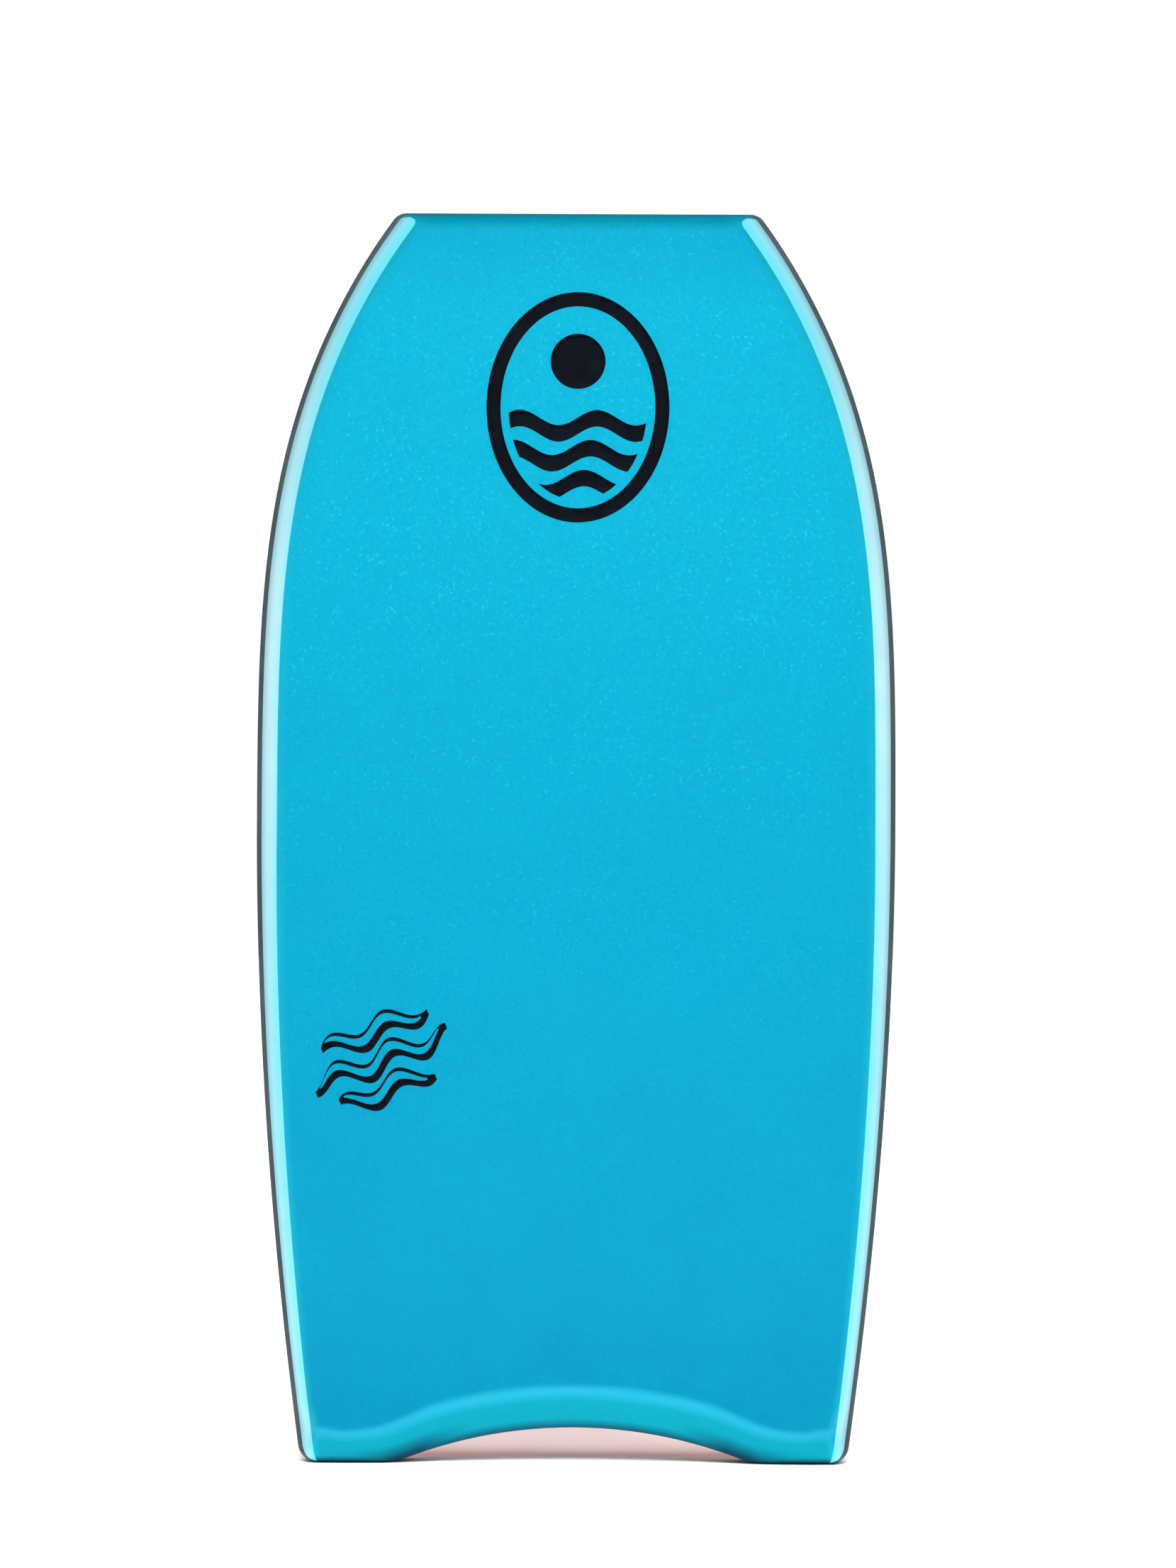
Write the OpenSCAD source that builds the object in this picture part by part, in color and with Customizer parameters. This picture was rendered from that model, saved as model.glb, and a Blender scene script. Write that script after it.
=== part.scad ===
// Bodyboard, standing on its tail: deck towards -Y, slick towards +Y, nose up.
// Every surface is a grid of points. A point is placed by its distance in from
// the board's outline and by its height over the slick.

/* [Outline] */
// Length from tail tips to nose
board_length = 1067; // [990:1:1120]
// Greatest width across the rails
board_width = 547; // [500:1:580]
// Width of the nose edge between its corners
nose_width = 308; // [280:1:330]
// Width across the tail tips
tail_width = 467; // [440:1:490]
// Height of the widest point above the tail
wide_height = 545; // [500:1:590]
// How late the sides turn in towards the nose
nose_power = 3.3; // [2.4:0.1:3.6]
// How late the sides turn in towards the tail
tail_power = 1.9; // [1.5:0.05:2.2]
// Corner radius at the nose
nose_corner = 5; // [5:1:13]
// Corner radius at the tail
tail_corner = 14; // [6:1:14]

/* [Tail] */
// Depth of the crescent cut in the tail
crescent_depth = 30; // [27:1:36]
// Radius of the crescent
crescent_radius = 400; // [380:5:480]
// Distance from the middle where the crescent starts to flare into the tips
crescent_flare = 140; // [120:1:145]

/* [Thickness] */
// Thickness at the widest point
mid_thickness = 54; // [50:1:60]
// Thickness at the nose
nose_thickness = 46; // [42:1:50]
// Thickness at the tail
tail_thickness = 50; // [46:1:54]
// Fall of the deck from its middle to its edges
crown = 2; // [0:0.5:4]
// Rise of the nose towards the deck side
nose_rocker = 22; // [10:1:28]
// Height where the nose starts to rise
rocker_start = 620; // [560:10:700]
// Rise of the tail towards the deck side
tail_kick = 6; // [2:1:8]
// Height where the tail starts to rise
kick_end = 150; // [120:5:200]
// Backward lean of the standing board, in degrees
lean = 1.2; // [0.9:0.1:1.5]
// Depth at which the slick's flat part, carried on down, would meet the floor
slick_back = 18.4; // [17:0.1:20]

/* [Edges] */
// Width of the chine bevel with its rounding, seen from the deck
chine_run = 27; // [24:1:30]
// Share of that width that is left at the tail
tail_chine = 0.72; // [0.68:0.02:0.9]
// Part of that width taken up by the rounding
chine_round = 12; // [8:1:14]
// Width of the bevel along the tail, seen from the deck
tail_run = 41; // [38:1:44]
// How much narrower that bevel is at the two tips
tip_narrowing = 10; // [0:1:11]
// Part of that width taken up by the rounded ridge
tail_ridge = 12; // [8:1:14]
// Part of that width taken up by the rounded lower edge
tail_lower = 10; // [6:1:12]
// Width of the rounded nose edge
nose_run = 16; // [13:1:18]
// Slope of the straight part of the tail bevel
tail_slope = 0.5; // [0.4:0.05:0.6]
// Height of the widest line over the slick, as a share of thickness, at the sides
side_part = 0.6; // [0.55:0.01:0.62]
// The same share at the tail
tail_part = 0.52; // [0.48:0.01:0.56]
// The same share at the nose
nose_part = 0.67; // [0.62:0.01:0.7]

/* [Skins] */
// Thickness of the deck skin and chine strips
skin = 4.5; // [3:0.5:5]
// Thickness of the rail strips
rail = 4.5; // [3:0.5:5]
// Thickness of the nose and tail bumpers
bumper = 4; // [3:0.5:5]
// Thickness of the slick
slick_skin = 1; // [0.8:0.1:1.5]
// Thickness of the foam sheet behind the slick
backing = 3; // [2:0.5:4]
// Thickness of the mesh under the core
mesh = 0.6; // [0.4:0.1:1]
// Thickness of a print on the deck
ink = 0.3; // [0.2:0.1:0.5]

/* [Stringer] */
// Outer diameter of the tube
stringer_diameter = 12; // [10:1:12]
// Wall of the tube
stringer_wall = 1.5; // [1:0.5:2]
// Height of the tube's axis over the slick
stringer_height = 24; // [23:0.5:25]
// Bottom end of the tube assembly above the tail
stringer_bottom = 80; // [70:5:110]
// Top end of the tube assembly above the tail
stringer_top = 920; // [800:5:920]

/* [Prints] */
// Width of the emblem
emblem_width = 156; // [120:1:170]
// Height of the emblem
emblem_height = 196; // [150:1:210]
// Height of the emblem's middle above the tail
emblem_middle = 901; // [860:1:910]
// Line width of the emblem's ring
emblem_ring = 12; // [8:1:16]
// Place of the side motif across the board
motif_across = -165; // [-170:1:-150]
// Height of the side motif's middle above the tail
motif_middle = 344; // [330:1:360]
// Upward tilt of the side motif, in degrees
motif_tilt = 22; // [15:1:30]

/* [Hidden] */

cyan = [0.03, 0.70, 0.85];
pale_cyan = [0.62, 0.93, 0.97];
slate = [0.10, 0.13, 0.15];
coral = [0.93, 0.36, 0.33];
white_foam = [0.93, 0.93, 0.90];
carbon = [0.12, 0.12, 0.13];
cap_white = [0.85, 0.85, 0.85];
ink_black = [0.01, 0.02, 0.04];

// Grid: lines beside each edge, as shares of the bevel's run, and lines between
side_lines = [0, 0.18, 0.41, 0.61, 0.78, 1];
tail_lines = [0, 0.1, 0.24, 0.48, 0.71, 0.86, 1];
nose_lines = [0, 0.18, 0.5, 1];
// Stands for the share of any line past a bevel's ridge
PAST_RIDGE = 2;
inner_columns = 12;
inner_rows = 18;
// Rows crowd towards the nose, where the outline bends most
row_power = 1.25;
side_count = len(side_lines) - 1;
tail_count = len(tail_lines) - 1;
nose_count = len(nose_lines) - 1;
last_column = inner_columns + 2 * side_count;
last_row = inner_rows + tail_count + nose_count;
column_count = last_column + 1;
// The chine strip covers this many columns and stops this many rows short of the nose
chine_columns = 3;
chine_stop = 1;
// Times that a grid point's column and row are worked out in turn
settle_turns = 8;

// Edge levels, from the line where skin meets rail down to the slick:
// distances in from the outline at the sides, the tail and the nose
PART_LEVEL = 0;
WIDE_LEVEL = 1;
LOW_LEVEL = 2;
STACK_LEVEL = 3;
SLICK_LEVEL = 4;
level_side = [4.2, 0, 3, 6.6, 8];
level_tail = [0.6, 0, 0, 0, 0];
level_nose = [1, 0, 0.6, 2.2, 3];
// Height of the low level, as a share of the widest line's height
low_share = 0.45;
stack = slick_skin + backing + mesh;
// Distances from the middle between which the tail bevel narrows
tip_start = 110;
tip_end = 205;
// Heights over which the widest line moves from the sides' share to the end's share
tail_blend = 4 * crescent_depth;
nose_blend = 90;
// The bevels bring their own radius to a corner; this sharpens how two of them join
corner_blend = 4;
// How fast the skin reaches its full thickness under a bevel
cover_power = 4;
// How far the stringer's bore runs on past the tail
bore_clear = 20;
round_fn = 48;

// ---- Outline -------------------------------------------------------------

function mix(a, b, t) = a + (b - a) * t;
function ramp(a, b, v) = max(0, min(1, (v - a) / (b - a)));
function smooth(a, b, v) = let(t = ramp(a, b, v)) t * t * (3 - 2 * t);

function nose_part_of(z) = ramp(wide_height, board_length, z);
function tail_part_of(z) = 1 - ramp(0, wide_height, z);

function half_width(z) = board_width / 2
    - (board_width - nose_width) / 2 * pow(nose_part_of(z), nose_power)
    - (board_width - tail_width) / 2 * pow(tail_part_of(z), tail_power);

function side_slope(z) =
    z > wide_height
    ? (board_width - nose_width) / 2 * nose_power
        * pow(nose_part_of(z), nose_power - 1) / (board_length - wide_height)
    : (board_width - tail_width) / 2 * tail_power
        * pow(tail_part_of(z), tail_power - 1) / wide_height;

// Makes a distance measured across the board square to the slanting side
function stretch(z) = sqrt(1 + pow(side_slope(z), 2));

// Tail line moved inwards by a distance: an arc that flares into two flat tips
function tail_line(x, inwards) =
    let(
        centre = crescent_depth - crescent_radius,
        radius = crescent_radius + inwards,
        run = sqrt(radius * radius - crescent_flare * crescent_flare),
        rise = centre + run - inwards,
        slope = crescent_flare / run,
        flare_end = crescent_flare + 2 * rise / slope,
        across = abs(x)
    )
    across < crescent_flare ? centre + sqrt(radius * radius - across * across)
    : across < flare_end
    ? inwards + rise * pow((flare_end - across) / (flare_end - crescent_flare), 2)
    : inwards;

// Both bevels narrow: the chine towards the tail, the tail bevel towards its tips
function chine_scale(z) = mix(1, tail_chine, tail_part_of(z));
function tail_run_at(x) = tail_run - tip_narrowing * smooth(tip_start, tip_end, abs(x));

// ---- Grid positions in plan ----------------------------------------------

function column_side(i) = i < last_column / 2 ? -1 : 1;
function from_side(i) = min(i, last_column - i);

// Share of the way from outline (0) to bevel ridge (1); over 1 between the ridges
function side_share(i) = from_side(i) <= side_count ? side_lines[from_side(i)] : PAST_RIDGE;
function tail_share(j) = j <= tail_count ? tail_lines[j] : PAST_RIDGE;
function nose_share(j) = last_row - j <= nose_count ? nose_lines[last_row - j] : PAST_RIDGE;

// A square corner patch turned into a round one: both arguments run from 1 at
// the outline to 0 at the radius
function rounded(a, b) = a * sqrt(1 - b * b / 2);
function corner_in(own, other, radius) =
    own >= radius || other >= radius ? own
    : radius * (1 - rounded(1 - own / radius, 1 - other / radius));

function column_x(i, z, inset, from_end, radius) =
    let(
        run = chine_run * chine_scale(z),
        share = side_share(i),
        ridge = half_width(z) - run * stretch(z)
    )
    share > 1 ? ridge * (i - last_column / 2) / (inner_columns / 2)
    : column_side(i) * (half_width(z)
        - (inset + corner_in(share * (run - inset), from_end, radius)) * stretch(z));

function row_z(j, x, tail_inset, nose_inset, from_edge) =
    tail_share(j) <= 1
    ? tail_line(x, tail_inset
        + corner_in(tail_share(j) * (tail_run_at(x) - tail_inset), from_edge, tail_corner))
    : nose_share(j) <= 1
    ? board_length - nose_inset
        - corner_in(nose_share(j) * (nose_run - nose_inset), from_edge, nose_corner)
    : mix(tail_line(x, tail_run_at(x)), board_length - nose_run,
        1 - pow(1 - (j - tail_count) / inner_rows, row_power));

// Crosses a column with a row by going from one to the other a few times
function settle(i, j, insets, p, turns) =
    let(
        near_nose = nose_share(j) <= 1,
        from_edge = side_share(i) * (chine_run * chine_scale(p[1]) - insets[0]),
        from_end = near_nose ? nose_share(j) * (nose_run - insets[2])
            : tail_share(j) * (tail_run_at(p[0]) - insets[1]),
        x = column_x(i, p[1], insets[0], from_end, near_nose ? nose_corner : tail_corner),
        z = row_z(j, x, insets[1], insets[2], from_edge)
    )
    turns == 1 ? [x, z] : settle(i, j, insets, [x, z], turns - 1);

function plan(i, j, insets) =
    settle(i, j, insets, [0, board_length * j / last_row], settle_turns);

function outer_insets(k) = [level_side[k], level_tail[k], level_nose[k]];
function core_insets(k) =
    outer_insets(k >= STACK_LEVEL ? SLICK_LEVEL : k) + [rail, bumper, bumper];

// ---- Heights over the slick plane ----------------------------------------

function slick_rise(z) =
    nose_rocker * pow(ramp(rocker_start, board_length, z), 2)
    + tail_kick * pow(1 - ramp(0, kick_end, z), 2);

function thickness(z) = mid_thickness
    - (mid_thickness - nose_thickness) * pow(nose_part_of(z), 2)
    - (mid_thickness - tail_thickness) * pow(tail_part_of(z), 2);

function widest_line(z) = thickness(z) * (side_part
    + (tail_part - side_part) * (1 - smooth(crescent_depth, tail_blend, z))
    + (nose_part - side_part) * smooth(board_length - nose_blend, board_length - nose_run, z));

function edge_drop(z) = thickness(z) - widest_line(z);

// Straight bevel that rounds over into the deck
function chine_drop(s, z) =
    let(
        run = chine_run * chine_scale(z),
        curve = chine_round * chine_scale(z),
        slope = edge_drop(z) / (run - curve / 2)
    )
    s >= run ? 0
    : s > run - curve ? slope / (2 * curve) * pow(run - s, 2)
    : slope * (run - curve / 2 - s);

// Rounded ridge, straight bevel, then a rounded lower edge
function tail_drop(e, run, z) =
    let(
        at_lower = tail_slope * (run - tail_ridge / 2 - tail_lower),
        rest = edge_drop(z) - at_lower - tail_slope * tail_lower
    )
    e >= run ? 0
    : e > run - tail_ridge ? tail_slope / (2 * tail_ridge) * pow(run - e, 2)
    : e > tail_lower ? tail_slope * (run - tail_ridge / 2 - e)
    : at_lower + tail_slope * (tail_lower - e)
        + rest * (1 - sqrt(1 - pow((tail_lower - e) / tail_lower, 2)));

function nose_drop(e, z) =
    e >= nose_run ? 0
    : edge_drop(z) * (1 - sqrt(1 - pow((nose_run - e) / nose_run, 2)));

// Distances in from the side and from the end at a grid point, after rounding
function side_in(i, j, p) =
    let(
        inset = level_side[PART_LEVEL],
        run = chine_run * chine_scale(p[1]) - inset,
        near_nose = nose_share(j) <= 1,
        from_end = near_nose ? nose_share(j) * nose_run : tail_share(j) * tail_run_at(p[0])
    )
    inset + corner_in(side_share(i) * run, from_end, near_nose ? nose_corner : tail_corner);

function end_in(i, j, p) =
    let(
        from_edge = side_share(i) * chine_run * chine_scale(p[1]),
        tail_inset = level_tail[PART_LEVEL],
        tail_reach = tail_run_at(p[0]) - tail_inset,
        nose_inset = level_nose[PART_LEVEL]
    )
    nose_share(j) <= 1
    ? nose_inset + corner_in(nose_share(j) * (nose_run - nose_inset), from_edge, nose_corner)
    : tail_inset + corner_in(tail_share(j) * tail_reach, from_edge, tail_corner);

function deck_height(i, j, p) =
    let(
        z = p[1],
        side = chine_drop(side_in(i, j, p), z),
        end = nose_share(j) <= 1 ? nose_drop(end_in(i, j, p), z)
            : tail_drop(end_in(i, j, p), tail_run_at(p[0]), z),
        both = pow(pow(side, corner_blend) + pow(end, corner_blend), 1 / corner_blend)
    )
    thickness(z) - crown * pow(p[0] / half_width(z), 2) - min(edge_drop(z), both);

// How much of the skin lies under a deck point: none at the edge, all past the ridge
function cover(share) = share >= 1 ? 1 : 1 - pow(1 - share, cover_power);
function skin_depth(i, j) =
    skin * cover(side_share(i)) * cover(tail_share(j)) * cover(nose_share(j));

function level_height(k, z) =
    k == WIDE_LEVEL ? widest_line(z)
    : k == LOW_LEVEL ? low_share * widest_line(z)
    : k == STACK_LEVEL ? stack
    : slick_skin;

// ---- Points in space -----------------------------------------------------

// A point from its place in plan and its height over the slick
function place(p, height) =
    [p[0], slick_back + p[1] * tan(lean) - slick_rise(p[1]) - height, p[1]];

function deck_point(i, j) =
    let(p = plan(i, j, outer_insets(PART_LEVEL))) place(p, deck_height(i, j, p));

function core_deck_point(i, j) =
    let(
        outer = plan(i, j, outer_insets(PART_LEVEL)),
        inner = plan(i, j, core_insets(PART_LEVEL))
    )
    place(inner, deck_height(i, j, outer) - skin_depth(i, j));

function outer_edge_point(i, j, k) =
    let(p = plan(i, j, outer_insets(k)))
    k == PART_LEVEL ? deck_point(i, j) : place(p, level_height(k, p[1]));

function core_edge_point(i, j, k) =
    let(p = plan(i, j, core_insets(k)))
    k == PART_LEVEL ? core_deck_point(i, j) : place(p, level_height(k, p[1]));

function deck_grid(columns, rows) = [for (j = rows) [for (i = columns) deck_point(i, j)]];
function core_deck_grid(columns, rows) =
    [for (j = rows) [for (i = columns) core_deck_point(i, j)]];

// A level sheet under the board, cut to the core's outline or to the full outline
function sheet_grid(insets, height) =
    [for (j = [0 : last_row]) [for (i = [0 : last_column]) place(plan(i, j, insets), height)]];

function joined(rows) = [for (row = rows) each row];

// ---- Solids from grids ---------------------------------------------------

function turned(faces) = [for (f = faces) [f[2], f[1], f[0]]];

// Two triangles on the corners a, b, c, d of a cell, which share the edge a to c
function cell(a, b, c, d) = [[a, b, c], [a, c, d]];

// The faces of a solid between two grids of equal size, made of the cells that kept() names
function shell_faces(columns, rows, kept) =
    let(
        far = columns * rows,
        at = function(i, j) j * columns + i,
        has = function(i, j)
            i >= 0 && j >= 0 && i < columns - 1 && j < rows - 1 && kept(i, j)
    )
    [for (j = [0 : rows - 2]) for (i = [0 : columns - 2]) if (has(i, j))
        let(
            a = at(i, j),
            b = at(i, j + 1),
            c = at(i + 1, j + 1),
            d = at(i + 1, j)
        )
        each concat(
            cell(a, b, c, d),
            turned(cell(a + far, b + far, c + far, d + far)),
            has(i, j - 1) ? [] : cell(a, d, d + far, a + far),
            has(i, j + 1) ? [] : turned(cell(b, c, c + far, b + far)),
            has(i - 1, j) ? [] : turned(cell(a, b, b + far, a + far)),
            has(i + 1, j) ? [] : cell(d, c, c + far, d + far)
        )];

module shell(near, far, flip = false, kept = function(i, j) true) {
    faces = shell_faces(len(near[0]), len(near), kept);
    polyhedron(
        points = concat(joined(near), joined(far)),
        faces = flip ? turned(faces) : faces
    );
}

// Edge strips run from the skin's lower edge to the slick
edge_levels = [PART_LEVEL : SLICK_LEVEL];

module side_strip(i, flip) {
    shell(
        [for (j = [0 : last_row]) [for (k = edge_levels) outer_edge_point(i, j, k)]],
        [for (j = [0 : last_row]) [for (k = edge_levels) core_edge_point(i, j, k)]],
        flip
    );
}

module end_strip(j, flip) {
    shell(
        [for (k = edge_levels) [for (i = [0 : last_column]) outer_edge_point(i, j, k)]],
        [for (k = edge_levels) [for (i = [0 : last_column]) core_edge_point(i, j, k)]],
        flip
    );
}

// ---- Core ----------------------------------------------------------------

ring_count = 2 * (last_column + last_row);
function ring_index(i, j) =
    j == 0 ? i
    : i == last_column ? last_column + j
    : j == last_row ? last_column + last_row + last_column - i
    : ring_count - j;

ring_cells = concat(
    [for (i = [0 : last_column]) [i, 0]],
    [for (j = [1 : last_row]) [last_column, j]],
    [for (i = [last_column - 1 : -1 : 0]) [i, last_row]],
    [for (j = [last_row - 1 : -1 : 1]) [0, j]]
);
function core_ring(k) = [for (c = ring_cells) core_edge_point(c[0], c[1], k)];

grid_count = column_count * (last_row + 1);
function core_index(i, j, k) =
    k == PART_LEVEL ? j * column_count + i
    : k == STACK_LEVEL ? grid_count + 2 * ring_count + j * column_count + i
    : grid_count + (k - 1) * ring_count + ring_index(i, j);

function core_sheet_faces(k) =
    [for (j = [0 : last_row - 1]) for (i = [0 : last_column - 1])
        each cell(
            core_index(i, j, k), core_index(i, j + 1, k),
            core_index(i + 1, j + 1, k), core_index(i + 1, j, k)
        )];

function core_side_faces(i) =
    [for (j = [0 : last_row - 1]) for (k = [PART_LEVEL : LOW_LEVEL])
        each cell(
            core_index(i, j, k), core_index(i, j + 1, k),
            core_index(i, j + 1, k + 1), core_index(i, j, k + 1)
        )];

function core_end_faces(j) =
    [for (i = [0 : last_column - 1]) for (k = [PART_LEVEL : LOW_LEVEL])
        each cell(
            core_index(i, j, k), core_index(i, j, k + 1),
            core_index(i + 1, j, k + 1), core_index(i + 1, j, k)
        )];

module core_blank() {
    polyhedron(
        points = concat(
            joined(core_deck_grid([0 : last_column], [0 : last_row])),
            core_ring(WIDE_LEVEL),
            core_ring(LOW_LEVEL),
            joined(sheet_grid(core_insets(STACK_LEVEL), stack))
        ),
        faces = concat(
            core_sheet_faces(PART_LEVEL),
            turned(core_sheet_faces(STACK_LEVEL)),
            core_side_faces(last_column),
            turned(core_side_faces(0)),
            core_end_faces(last_row),
            turned(core_end_faces(0))
        )
    );
}

// A cylinder on the stringer's axis between two heights above the tail
module on_stringer(diameter, from, to) {
    translate([0, slick_back - stringer_height, 0])
        rotate([-lean, 0, 0])
            translate([0, 0, from])
                cylinder(d = diameter, h = to - from, $fn = round_fn);
}

module foam_core() {
    color(white_foam)
        difference() {
            core_blank();
            on_stringer(stringer_diameter, -bore_clear, stringer_top);
        }
}

// ---- Stringer ------------------------------------------------------------

cap_flange = 2;
cap_plug = 12;
tube_bore = stringer_diameter - 2 * stringer_wall;

module stringer_tube() {
    color(carbon)
        difference() {
            on_stringer(stringer_diameter, stringer_bottom + cap_flange, stringer_top - cap_flange);
            on_stringer(tube_bore, stringer_bottom, stringer_top);
        }
}

module stringer_nose_cap() {
    color(cap_white) {
        on_stringer(stringer_diameter, stringer_top - cap_flange, stringer_top);
        on_stringer(tube_bore, stringer_top - cap_flange - cap_plug, stringer_top - cap_flange);
    }
}

module stringer_tail_cap() {
    color(cap_white) {
        on_stringer(stringer_diameter, stringer_bottom, stringer_bottom + cap_flange);
        on_stringer(tube_bore, stringer_bottom + cap_flange, stringer_bottom + cap_flange + cap_plug);
    }
}

module stringer_plug() {
    color(white_foam)
        intersection() {
            core_blank();
            on_stringer(stringer_diameter, -bore_clear, stringer_bottom);
        }
}

// ---- Skins and strips ----------------------------------------------------

module bottom_mesh() {
    insets = core_insets(STACK_LEVEL);
    color(carbon)
        shell(sheet_grid(insets, stack), sheet_grid(insets, stack - mesh));
}

module slick_backing() {
    insets = core_insets(STACK_LEVEL);
    color(white_foam)
        shell(sheet_grid(insets, stack - mesh), sheet_grid(insets, slick_skin));
}

module slick() {
    insets = outer_insets(SLICK_LEVEL);
    color(coral)
        shell(sheet_grid(insets, slick_skin), sheet_grid(insets, 0));
}

function is_chine(i, j) =
    j < last_row - chine_stop
    && (i < chine_columns || i >= last_column - chine_columns);

module deck_skin() {
    columns = [0 : last_column];
    rows = [0 : last_row];
    color(cyan)
        shell(
            core_deck_grid(columns, rows),
            deck_grid(columns, rows),
            flip = true,
            kept = function(i, j) !is_chine(i, j)
        );
}

module chine(first_column) {
    columns = [first_column : first_column + chine_columns];
    rows = [0 : last_row - chine_stop];
    color(pale_cyan)
        shell(deck_grid(columns, rows), core_deck_grid(columns, rows));
}

module left_chine() {
    chine(0);
}

module right_chine() {
    chine(last_column - chine_columns);
}

module left_rail() {
    color(slate)
        side_strip(0, true);
}

module right_rail() {
    color(slate)
        side_strip(last_column, false);
}

module nose_bumper() {
    color(slate)
        end_strip(last_row, false);
}

module tail_bumper() {
    color(slate)
        end_strip(0, true);
}

// ---- Prints --------------------------------------------------------------

// A thin sheet on the deck, cut to a flat outline drawn in X and Z
module print_on_deck(low, high) {
    heights = [for (j = [0 : last_row]) plan(last_column / 2, j, outer_insets(PART_LEVEL))[1]];
    first = max([for (j = [0 : last_row]) if (heights[j] < low) j]);
    last = min([for (j = [0 : last_row]) if (heights[j] > high) j]);
    columns = [side_count : last_column - side_count];
    under = deck_grid(columns, [first : last]);
    over = [for (row = under) [for (p = row) [p[0], p[1] - ink, p[2]]]];
    intersection() {
        shell(over, under);
        rotate([90, 0, 0])
            linear_extrude(height = 4 * mid_thickness, center = true)
                children();
    }
}

function oval(rx, ry, steps = 72) =
    [for (n = [0 : steps - 1]) [rx * cos(360 * n / steps), ry * sin(360 * n / steps)]];

// A band along a wave, from x = -reach to reach, thinning to its ends
function wave(reach, height, length, width, phase = 0, taper = 1, steps = 44) =
    let(
        across = [for (n = [0 : steps]) -reach + 2 * reach * n / steps],
        middle = function(x) height * sin(360 * x / length + phase),
        half = function(x) width / 2 * (1 - taper * pow(abs(x) / reach, 3))
    )
    concat(
        [for (x = across) [x, middle(x) + half(x)]],
        [for (n = [steps : -1 : 0]) let(x = across[n]) [x, middle(x) - half(x)]]
    );

// Space between the emblem's ring and its waves
emblem_gap = 7;
// Sun of the emblem: its radius and height, as shares of the emblem's width and height
sun_radius = 0.15;
sun_rise = 0.2;
// Waves of the emblem: the first one's fall and the step to the next, as shares of its height
wave_fall = 0.08;
wave_step = 0.13;
wave_height = 6.5;
wave_length = 66;
wave_width = 14;
// Each wave starts this many degrees further along
wave_turn = 30;

module emblem_shape() {
    inner_rx = emblem_width / 2 - emblem_ring;
    inner_ry = emblem_height / 2 - emblem_ring;
    difference() {
        polygon(oval(emblem_width / 2, emblem_height / 2));
        polygon(oval(inner_rx, inner_ry));
    }
    translate([0, sun_rise * emblem_height])
        circle(r = sun_radius * emblem_width, $fn = round_fn);
    for (n = [0 : 2])
        intersection() {
            polygon(oval(inner_rx - emblem_gap, inner_ry - emblem_gap));
            translate([0, -emblem_height * (wave_fall + wave_step * n)])
                polygon(wave(emblem_width / 2, wave_height, wave_length, wave_width, wave_turn * n, 0));
        }
}

module deck_emblem() {
    reach = emblem_height / 2;
    color(ink_black)
        print_on_deck(emblem_middle - reach, emblem_middle + reach)
            translate([0, emblem_middle])
                emblem_shape();
}

// Ripples of the side motif: half lengths and heights of the upper, middle and lower one
ripple_reach = [48, 62, 42];
ripple_height = [6, 7, 6];
ripple_length = 50;
ripple_width = 17;
// Each ripple stands this far above the next one, and this far to its right
ripple_step = [4, 25];
// The strip cut out of a ripple: its width, how much shorter it is, and its shift
cut_width = 7.5;
cut_short = 6;
cut_shift = [-1.2, 1.8];

module ripple(reach, height) {
    difference() {
        polygon(wave(reach, height, ripple_length, ripple_width, 0, 0.7));
        translate(cut_shift)
            polygon(wave(reach - cut_short, height, ripple_length, cut_width, 0, 0.8));
    }
}

module side_graphic() {
    reach = max(ripple_reach);
    color(ink_black)
        print_on_deck(motif_middle - reach, motif_middle + reach)
            translate([motif_across, motif_middle])
                rotate(motif_tilt)
                    for (n = [0 : 2])
                        translate((1 - n) * ripple_step)
                            ripple(ripple_reach[n], ripple_height[n]);
}

foam_core();
stringer_tube();
stringer_nose_cap();
stringer_tail_cap();
stringer_plug();
bottom_mesh();
slick_backing();
slick();
deck_skin();
left_chine();
right_chine();
left_rail();
right_rail();
nose_bumper();
tail_bumper();
deck_emblem();
side_graphic();
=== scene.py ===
"""Bodyboard standing on its tail: detailed skins, strips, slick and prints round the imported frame.

The deck faces -Y, the slick +Y and the nose +Z. A surface is a grid of points, and each point is
placed by its distance in from the board's outline and its height over the slick. All lengths are
in metres.
"""

import math

import bpy
import numpy as np
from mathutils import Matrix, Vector
from mathutils.geometry import delaunay_2d_cdt


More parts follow.
